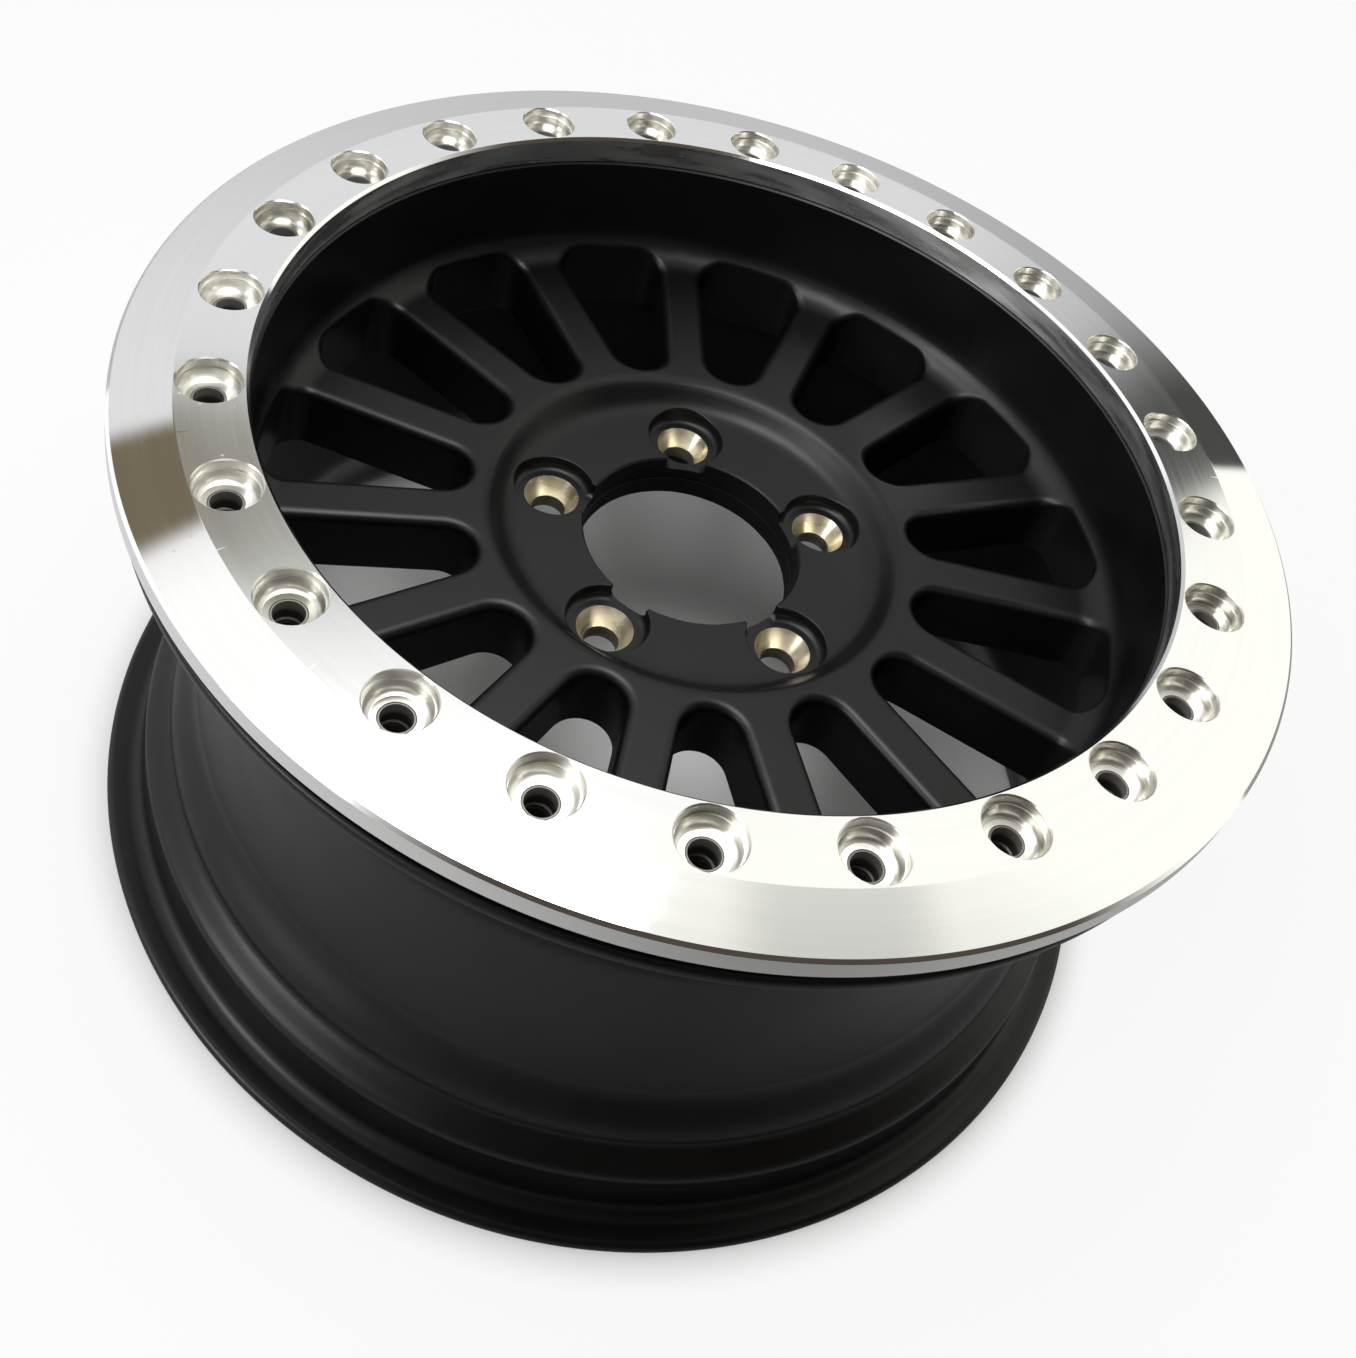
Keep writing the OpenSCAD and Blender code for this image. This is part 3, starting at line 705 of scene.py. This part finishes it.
# %% [markdown]
# ## Tools for finishes
#
# A finish is a small network of nodes. What several finishes share, such as the marks that a
# cutting tool leaves, is a node group: built once, with named inputs and outputs, and placed in each
# material with values of its own. Everything is driven by Object coordinates, so a pattern stays
# where it is on the wheel when the view changes.

# %% Helpers for nodes
def place(tree, kind, settings=None, **sockets):
    """Adds a node, sets its properties, and fills or links its inputs by name."""
    made = tree.nodes.new(kind)
    for key, value in (settings or {}).items():
        setattr(made, key, value)
    return fill(tree, made, **sockets)


def fill(tree, made, **sockets):
    """Fills inputs, or links outputs to them, by name with _ for a space; i3 is the input number 3."""
    for name, value in sockets.items():
        index = int(name[1:]) if name[0] == "i" and name[1:].isdigit() else name.replace("_", " ")
        if isinstance(value, bpy.types.NodeSocket):
            tree.links.new(value, made.inputs[index])
        else:
            made.inputs[index].default_value = value
    return made


def maths(tree, operation, *values):
    """One step of arithmetic; gives its result."""
    inputs = {f"i{k}": value for k, value in enumerate(values)}
    return place(tree, "ShaderNodeMath", {"operation": operation}, **inputs).outputs[0]


def scaled(tree, value, factor, offset):
    """value x factor + offset."""
    return maths(tree, "ADD", maths(tree, "MULTIPLY", value, factor), offset)


def split(tree, vector):
    """The three parts of a vector."""
    return place(tree, "ShaderNodeSeparateXYZ", Vector=vector).outputs


def length(tree, vector):
    """Length of a vector."""
    return place(tree, "ShaderNodeVectorMath", {"operation": "LENGTH"}, i0=vector).outputs["Value"]


def span(tree, value, low, high, out_low=0.0, out_high=1.0):
    """Carries value from low..high to out_low..out_high with a soft start and end."""
    made = place(tree, "ShaderNodeMapRange", {"interpolation_type": "SMOOTHSTEP"}, Value=value,
        From_Min=low, From_Max=high, To_Min=out_low, To_Max=out_high)
    return made.outputs["Result"]


def blend_colour(tree, share, first, second):
    """The first colour where share is 0 and the second where it is 1."""
    made = place(tree, "ShaderNodeMix", {"data_type": "RGBA"}, i0=share, i6=first, i7=second)
    return made.outputs[2]


def noise(tree, vector, scale, detail=2.0, roughness=0.5):
    """Soft noise from 0 to 1."""
    made = place(tree, "ShaderNodeTexNoise", Vector=vector, Scale=scale, Detail=detail, Roughness=roughness)
    return made.outputs[0]


def new_group(name, inputs, outputs):
    """A node group with named inputs, each with a default, and named outputs."""
    tree = bpy.data.node_groups.new(name, "ShaderNodeTree")
    for label, kind, value in inputs:
        socket = tree.interface.new_socket(label, in_out="INPUT", socket_type=kind)
        if value is not None:
            socket.default_value = value
    for label, kind in outputs:
        tree.interface.new_socket(label, in_out="OUTPUT", socket_type=kind)
    return tree, tree.nodes.new("NodeGroupInput").outputs, tree.nodes.new("NodeGroupOutput")


def use_group(tree, group, **sockets):
    """Places a group in a tree; gives its outputs."""
    return place(tree, "ShaderNodeGroup", {"node_tree": group}, **sockets).outputs


def new_material(name):
    """A material with a Principled BSDF; gives the material, its tree, the shader and Object coordinates."""
    material = bpy.data.materials.new(name)
    material.use_nodes = True
    tree = material.node_tree
    where = tree.nodes.new("ShaderNodeTexCoord").outputs["Object"]
    return material, tree, tree.nodes["Principled BSDF"], where


def bumped(tree, height, distance, strength=1.0):
    """A normal tilted by a height; distance is the height's scale in metres."""
    return place(tree, "ShaderNodeBump", Height=height, Distance=distance, Strength=strength).outputs[0]


FLOAT, VECTOR = "NodeSocketFloat", "NodeSocketVector"
print("node tools ready")

# %% [markdown]
# ## Marks left by the cutting tool
#
# A lathe tool leaves a fine spiral, so the marks are rings round the axle on a face and lines round
# the wall of a bore. Both are noise that changes quickly across the marks and hardly at all along
# them. The noise is read at a point whose first coordinate is the distance across the marks and
# whose other two go slowly round with the angle, so that there is no seam.

# %% Group: tool marks
marks, given, result = new_group("tool marks",
    [("Place", VECTOR, None), ("Across wall", FLOAT, 0.0), ("Fineness", FLOAT, 2600.0), ("Drift", FLOAT, 3.0)],
    [("Height", FLOAT), ("Shade", FLOAT)])
parts = split(marks, given["Place"])
flat_place = place(marks, "ShaderNodeCombineXYZ", X=parts[0], Y=parts[1]).outputs[0]
radius = length(marks, flat_place)
round_way = place(marks, "ShaderNodeVectorMath", {"operation": "NORMALIZE"}, i0=flat_place).outputs[0]
way = split(marks, round_way)
across = place(marks, "ShaderNodeMix", i0=given["Across wall"], i2=radius, i3=parts[2]).outputs[0]
slow = [maths(marks, "MULTIPLY", part, given["Drift"]) for part in (way[0], way[1])]


def ring_noise(scale, detail):
    """Noise at (distance across x scale, slow, slow)."""
    fast = maths(marks, "MULTIPLY", across, scale)
    where = place(marks, "ShaderNodeCombineXYZ", X=fast, Y=slow[0], Z=slow[1]).outputs[0]
    return noise(marks, where, 1.0, detail)


fine = ring_noise(given["Fineness"], 1.0)
broad = ring_noise(maths(marks, "MULTIPLY", given["Fineness"], 0.14), 3.0)
fill(marks, result, Height=scaled(marks, fine, 0.6, maths(marks, "MULTIPLY", broad, 0.4)), Shade=broad)
print("tool marks:", len(marks.nodes), "nodes")

# %% [markdown]
# ## Handling marks
#
# Bare metal that has been on a bench shows a few pale specks. A speck is the middle of a Voronoi
# cell, kept only in the few cells whose random colour is dark enough, and only in loose patches.

# %% Group: handling marks
handling, given, result = new_group("handling marks",
    [("Place", VECTOR, None), ("Specks", FLOAT, 0.06)], [("Mask", FLOAT)])
cells = place(handling, "ShaderNodeTexVoronoi", Vector=given["Place"], Scale=260.0)
chance = split(handling, cells.outputs["Color"])[0]
chosen = maths(handling, "LESS_THAN", chance, given["Specks"])
near = span(handling, cells.outputs["Distance"], 0.10, 0.22, 1.0, 0.0)
patch = span(handling, noise(handling, given["Place"], 9.0, 1.0), 0.52, 0.62)
speck = maths(handling, "MULTIPLY", maths(handling, "MULTIPLY", chosen, near), patch)
fill(handling, result, Mask=speck)
print("handling marks:", len(handling.nodes), "nodes")

# %% [markdown]
# ## Skin of a coating or a casting
#
# Powder coat flows out to a very low, even ripple, and blasted or plated steel has a finer one. Both
# are the same effect at another scale: two noises for the ripple, and a third, much larger one for
# the slow change in gloss that handling and thickness bring.

# %% Group: surface skin
skin_group, given, result = new_group("surface skin",
    [("Place", VECTOR, None), ("Ripple size", FLOAT, 0.0012)], [("Height", FLOAT), ("Gloss drift", FLOAT)])
per_metre = maths(skin_group, "DIVIDE", 1.0, given["Ripple size"])
coarse = noise(skin_group, given["Place"], per_metre, 1.0)
grain = noise(skin_group, given["Place"], maths(skin_group, "MULTIPLY", per_metre, 2.7), 2.0)
fill(skin_group, result, Height=scaled(skin_group, coarse, 0.7, maths(skin_group, "MULTIPLY", grain, 0.3)),
    Gloss_drift=noise(skin_group, given["Place"], 22.0, 3.0))
print("surface skin:", len(skin_group.nodes), "nodes")

# %% [markdown]
# ## Satin powder coat
#
# The wheel is coated in satin black. The colour is almost nothing: what the eye reads is the broad,
# soft reflection of the room, so roughness decides the look. The ripple breaks that reflection up a
# little, and the gloss drifts slowly from place to place.

# %% Material: satin powder coat
powder, tree, shader, where = new_material("satin_powder_coat")
skin_out = use_group(tree, skin_group, Place=where, Ripple_size=0.0011)
drift = span(tree, skin_out["Gloss drift"], 0.3, 0.7)
black = blend_colour(tree, drift, (0.0012, 0.0014, 0.0017, 1), (0.0022, 0.0023, 0.0026, 1))
fill(tree, shader, Base_Color=black, Roughness=scaled(tree, drift, 0.05, 0.37),
    Normal=bumped(tree, skin_out["Height"], 0.00004), Specular_IOR_Level=0.34)
print("powder coat on", wheel_body.name)

# %% [markdown]
# ## Bare metal
#
# The clamp ring is turned aluminium without any coating. Its marks run round the axle, which smears
# a reflection across them: that is anisotropy, turned a quarter so that the smear runs in and out.
# The walls of its bores are marked along their depth instead, so they get a finish of their own, and
# so do the bare seats in the hub, whose metal is a little warmer.

# %% Material: turned face of the ring
turned_face, tree, shader, where = new_material("turned_aluminium")
marks_out = use_group(tree, marks, Place=where, Across_wall=0.0, Fineness=2600.0, Drift=2.0)
left_side = span(tree, split(tree, where)[0], -0.2, -0.17, 1, 0)
specks = use_group(tree, handling, Place=where, Specks=0.12)["Mask"]
wear = maths(tree, "MULTIPLY", specks, left_side)
shade = span(tree, marks_out["Shade"], 0.25, 0.75)
base = blend_colour(tree, shade, (0.895, 0.897, 0.9, 1), (0.92, 0.921, 0.918, 1))
across_face = place(tree, "ShaderNodeVectorMath", {"operation": "MULTIPLY"}, i0=where, i1=(1, 1, 0)).outputs[0]
cone_edge = CONE_R * MM
finer = span(tree, length(tree, across_face), cone_edge - 0.0002, cone_edge + 0.0002, 0.095, 0.045)
fill(tree, shader, Base_Color=blend_colour(tree, wear, base, (0.97, 0.97, 0.96, 1)),
    Roughness=scaled(tree, wear, 0.3, scaled(tree, shade, 0.018, finer)),
    Normal=bumped(tree, marks_out["Height"], 0.000002), Metallic=1.0, Anisotropic=0.6, Anisotropic_Rotation=0.25)
print("turned face on", clamp_ring.name)


# %% Materials: bored walls and bare seats
def bored_metal(name, dark, light, roughness, fineness, ripple, smear, spread=0.08):
    """Metal with marks along the depth of a bore, between a darker and a lighter colour."""
    material, tree, shader, where = new_material(name)
    lines = use_group(tree, marks, Place=where, Across_wall=1.0, Fineness=fineness, Drift=5.0)
    shade = span(tree, lines["Shade"], 0.3, 0.7)
    down_the_bore = place(tree, "ShaderNodeCombineXYZ", X=0.03, Y=0.02, Z=1.0).outputs[0]
    fill(tree, shader, Base_Color=blend_colour(tree, shade, dark, light),
        Roughness=scaled(tree, shade, spread, roughness), Normal=bumped(tree, lines["Height"], ripple),
        Tangent=down_the_bore, Metallic=1.0, Anisotropic=smear)
    return material


bored_wall = bored_metal("bored_aluminium", (0.58, 0.565, 0.51, 1), (0.93, 0.92, 0.87, 1),
    roughness=0.27, fineness=1000.0, ripple=0.00001, smear=0.85)
bare_seat = bored_metal("bare_seat", (0.68, 0.61, 0.46, 1), (0.93, 0.87, 0.72, 1),
    roughness=0.26, fineness=1400.0, ripple=0.00001, smear=0.85)
lug_bore = bored_metal("lug_bore", (0.20, 0.185, 0.16, 1), (0.34, 0.31, 0.27, 1),
    roughness=0.36, fineness=1600.0, ripple=0.00002, smear=0.5)
bore_edge_metal = bored_metal("ring_bore", (0.66, 0.67, 0.68, 1), (0.86, 0.87, 0.88, 1),
    roughness=0.25, fineness=1500.0, ripple=0.00003, smear=0.8)
print("bored finishes:", bored_wall.name, bare_seat.name, bore_edge_metal.name)

# %% [markdown]
# ## Dark steel
#
# The inserts are steel with a thin dark plating. Its colour is a duller grey at the top, partly from wear,
# and nearly black in the thread, partly from oil and partly as painted shade down the hole. The top is
# only partly metallic, because a full mirror down in a hole shows nothing but the dark wall across from it.

# %% Material: dark steel, and all finishes in place
dark_steel, tree, shader, where = new_material("dark_steel")
skin_out = use_group(tree, skin_group, Place=where, Ripple_size=0.0006)
drift = span(tree, skin_out["Gloss drift"], 0.3, 0.7)
worn_and_lit_grey = blend_colour(tree, drift, (0.17, 0.165, 0.155, 1), (0.24, 0.23, 0.215, 1))
# below this height the colour turns nearly black: partly oil in the thread, partly painted shade deep in the hole
oil_and_shade_top = (COLLAR_Z - 5) * MM
near_top = span(tree, split(tree, where)[2], oil_and_shade_top, oil_and_shade_top + 2 * MM)
fill(tree, shader, Base_Color=blend_colour(tree, near_top, (0.05, 0.048, 0.045, 1), worn_and_lit_grey),
    Roughness=scaled(tree, drift, 0.1, 0.42), Normal=bumped(tree, skin_out["Height"], 0.00001), Metallic=0.35)

dressed = [(wheel_body, (powder, bare_seat, lug_bore)), (clamp_ring, (turned_face, bored_wall, bore_edge_metal))]
dressed += [(sleeve, (dark_steel,)) for sleeve in inserts]
for piece, finishes in dressed:
    for finish in finishes:
        piece.data.materials.append(finish)
print("finishes on", 2 + len(inserts), "pieces")

# %% [markdown]
# ## Camera
#
# The camera stands where the photograph was taken from: above the rim and in front of it. Its place,
# its axes and its lens come from fitting the circles of the wheel to their outlines in the photograph.

# %% Camera
def set_camera(place, right, down, forward, lens, shift):
    """A camera at a point, with its axes given as rows: right and down in the picture, and forward."""
    data = bpy.data.cameras.new("view")
    data.sensor_width, data.sensor_fit, data.lens = 36.0, "AUTO", lens
    data.shift_x, data.shift_y = shift
    camera = bpy.data.objects.new("view", data)
    axes = np.array([right, -np.array(down), -np.array(forward)]).T
    matrix = np.eye(4)
    matrix[:3, :3], matrix[:3, 3] = axes, place
    camera.matrix_world = Matrix(matrix.tolist())
    bpy.context.scene.collection.objects.link(camera)
    bpy.context.scene.camera = camera
    return camera


camera = set_camera((-0.14274, -0.46864, 0.63134), (0.96548, -0.0587, 0.25378), (0.14987, -0.6717, -0.7255),
    (0.21305, 0.73849, -0.63972), 42.08, (-0.02838, -0.19312))
print("camera at", [round(v, 3) for v in camera.location])

# %% [markdown]
# ## A pale floor
#
# The floor is a plain pale plane. Near the wheel it keeps the wheel's shadow, and further out it turns
# white. The rim and the barrel mirror the floor, so it has a part in their look too: in metal it shows
# as a soft grey with painted light in it, palest on the left, and with a band of painted light close
# beside the wheel that makes it lighter there than further away. Light Path tells the two apart.

# %% Plane of the floor
FLOOR_HALF = 6
corners = [(-FLOOR_HALF, -FLOOR_HALF, 0), (FLOOR_HALF, -FLOOR_HALF, 0), (FLOOR_HALF, FLOOR_HALF, 0),
    (-FLOOR_HALF, FLOOR_HALF, 0)]
floor_mesh = bpy.data.meshes.new("floor")
floor_mesh.from_pydata(corners, [], [(0, 1, 2, 3)])
ground = bpy.data.objects.new("floor", floor_mesh)
bpy.context.scene.collection.objects.link(ground)
print("floor", round(float(ground.dimensions.x), 1), "m wide")


# %% Material: pale floor
def seen_rays(tree):
    """Two masks: 1 where the camera looks straight, and 1 where it looks straight, in metal or through glass."""
    path = tree.nodes.new("ShaderNodeLightPath").outputs
    straight = path["Is Camera Ray"]
    mirrored = maths(tree, "MAXIMUM", path["Is Glossy Ray"], path["Is Transmission Ray"])
    return straight, maths(tree, "MAXIMUM", straight, mirrored)


pale, tree, shader, where = new_material("pale_floor")
far_out, rightwards = length(tree, where), split(tree, where)[0]
straight, seen = seen_rays(tree)

# the floor's colour: pale to the camera; to everything else a grey with painted light, palest on the left and darker
# towards the middle and the right
on_left = span(tree, rightwards, -0.65, 0.2, 1, 0)
grey = blend_colour(tree, on_left, (0.19, 0.19, 0.19, 1), (0.72, 0.72, 0.72, 1))
grey = blend_colour(tree, span(tree, rightwards, 0.0, 0.4), grey, (0.4, 0.4, 0.4, 1))
fill(tree, shader, Base_Color=blend_colour(tree, straight, grey, (0.8, 0.8, 0.8, 1)), Roughness=0.7,
    Specular_IOR_Level=0.1)

# the share of plain white: the open floor for the camera, and a painted band of light beside the wheel that only
# metal and glass see
open_floor = span(tree, far_out, 0.215, 0.25, 0.0, 0.9)
beside = maths(tree, "MULTIPLY", span(tree, far_out, 0.198, 0.212), span(tree, far_out, 0.27, 0.42, 1, 0))
on_right = span(tree, rightwards, 0.0, 0.3, 0.12, 0.4)
painted_light_in_metal = maths(tree, "MULTIPLY", beside, scaled(tree, on_left, 0.7, on_right))
mirrored = maths(tree, "MULTIPLY", maths(tree, "SUBTRACT", seen, straight), painted_light_in_metal)
lift = scaled(tree, straight, open_floor, mirrored)
white = place(tree, "ShaderNodeEmission", Color=(1, 1, 1, 1), Strength=1.0).outputs[0]
lifted = place(tree, "ShaderNodeMixShader", i0=lift, i1=shader.outputs[0], i2=white).outputs[0]
fill(tree, tree.nodes["Material Output"], Surface=lifted)
floor_mesh.materials.append(pale)
print("floor material:", len(tree.nodes), "nodes")

# %% [markdown]
# ## A studio made of light
#
# Polished metal is only as good as the room that it mirrors. Here the room is a white tent with a few
# panels in it, painted straight on the sky by direction: a wall that grows lighter with height, a
# bright screen on each side, a dark room behind the camera, and two dark panels whose edges give the
# ring its contrast. Lamps would do the same, but these soft edges cost no noise. The camera itself
# sees plain white behind the wheel.

# %% Tools for painting the sky
world = bpy.data.worlds.new("studio")
bpy.context.scene.world = world
world.use_nodes = True
tree = world.node_tree
sky = tree.nodes.new("ShaderNodeTexCoord").outputs["Generated"]
height = split(tree, sky)[2]


def toward(azimuth, elevation):
    """Unit vector at an azimuth from +Y towards +X and an elevation, both in degrees."""
    a, e = math.radians(azimuth), math.radians(elevation)
    return np.array([math.cos(e) * math.sin(a), math.cos(e) * math.cos(a), math.sin(e)])


def facing(direction):
    """How far the sky lies in a direction, from -1 to 1."""
    return place(tree, "ShaderNodeVectorMath", {"operation": "DOT_PRODUCT"}, i0=sky,
        i1=tuple(float(v) for v in direction)).outputs["Value"]


def panel(azimuth, elevation, inner, outer):
    """Round soft panel: 1 within inner degrees of its middle, 0 beyond outer degrees."""
    return span(tree, facing(toward(azimuth, elevation)), math.cos(math.radians(outer)),
        math.cos(math.radians(inner)))


def paint(light, share, colour):
    """Lays a panel of this colour over the light so far."""
    return blend_colour(tree, share, light, (*colour, 1))


def both(*shares):
    """Where all these shares hold."""
    total = shares[0]
    for share in shares[1:]:
        total = maths(tree, "MULTIPLY", total, share)
    return total


print("sky tools ready")

# %% Walls of the tent, and its bright roof on the far side
light = blend_colour(tree, span(tree, height, 0.08, 0.66), (0.57, 0.57, 0.575, 1), (0.80, 0.80, 0.81, 1))
roof = both(span(tree, height, 0.72, 0.83), span(tree, facing((0, 1, 0)), -0.45, -0.15))
light = paint(light, roof, (1.1, 1.1, 1.07))

# %% A dusky band on the left, in a wider grey one, and the bright screen below it
BAND_HEIGHT = 0.716
west = facing((-1, 0, 0))
off_band = maths(tree, "ABSOLUTE", maths(tree, "SUBTRACT", height, BAND_HEIGHT))
grey_band = both(span(tree, west, -0.14, 0.08), span(tree, off_band, 0.03, 0.06, 1, 0))
light = paint(light, grey_band, (0.42, 0.42, 0.39))
off_middle = maths(tree, "DIVIDE", off_band, scaled(tree, west, 0.075, 0.026))
dusky_band = both(span(tree, west, -0.06, 0.2), span(tree, off_middle, 0.72, 1.2, 1, 0))
light = paint(light, dusky_band, (0.18, 0.153, 0.098))
light = paint(light, panel(-85, 20, 38, 45), (1.1, 1.1, 1.1))
print("dusky band at", round(math.degrees(math.asin(BAND_HEIGHT)), 1), "degrees up")

# %% A dark panel on the right with one crisp edge, narrower higher up
edge = np.cross(toward(45, 17.3), toward(37.2, 34))
past_edge = facing(edge / np.linalg.norm(edge))
low = both(span(tree, height, 0.58, 0.66, 1, 0), span(tree, facing(toward(35, 18)), 0.6, 0.75))
narrowed = maths(tree, "MULTIPLY", past_edge, scaled(tree, height, 2.5, 0.5))
light = paint(light, both(span(tree, narrowed, -0.42, -0.22, 0, 0.3), low), (0.09, 0.09, 0.08))
light = paint(light, both(span(tree, narrowed, -0.25, -0.10), low), (0.07, 0.07, 0.065))
right_screen = both(span(tree, past_edge, -0.004, 0.008), span(tree, facing(toward(75, 30)), 0.5, 0.6))
light = paint(light, right_screen, (1.1, 1.1, 1.02))
light = paint(light, panel(66, 68, 3, 8), (0.83, 0.83, 0.78))
print("edge between the dark panel and the right screen:", np.round(edge / np.linalg.norm(edge), 3))

# %% A dark room behind the camera, a lamp on the left, and white for the camera
light = paint(light, panel(160, 34, 40, 66), (0.08, 0.065, 0.053))
light = paint(light, panel(-114, 24, 7, 13), (12.0, 12.0, 11.8))
straight, seen = seen_rays(tree)
light = paint(light, straight, (1, 1, 1))
fill(tree, tree.nodes["Background"], Color=light, Strength=scaled(tree, seen, 0.1, 0.9))
bpy.context.scene.view_settings.view_transform = "Standard"
print("studio panels:", sum(node.type == "MIX" for node in tree.nodes) - 1)

# %% [markdown]
# ## A softbox close by
#
# Light painted on the sky comes from endlessly far away, so it would reach the foot of the barrel as
# easily as the hub. The highlight on the step of the hub needs a lamp near the wheel, which the ring
# hides from the barrel. A round area lamp does this; its power is its radiance times its area times
# pi, so that it reads on the same scale as the sky.

# %% The softbox over the wheel
SOFTBOX_R, SOFTBOX_RADIANCE = 0.17, 8.0
softbox = bpy.data.lights.new("softbox", "AREA")
softbox.shape, softbox.size = "DISK", 2 * SOFTBOX_R
softbox.energy = SOFTBOX_RADIANCE * math.pi * math.pi * SOFTBOX_R ** 2
lamp = bpy.data.objects.new("softbox", softbox)
lamp.location = (-0.12, -0.06, 0.66)
lamp.rotation_euler = (0.1, -0.15, 0.0)
bpy.context.scene.collection.objects.link(lamp)
print("softbox", round(softbox.energy, 2), "W")
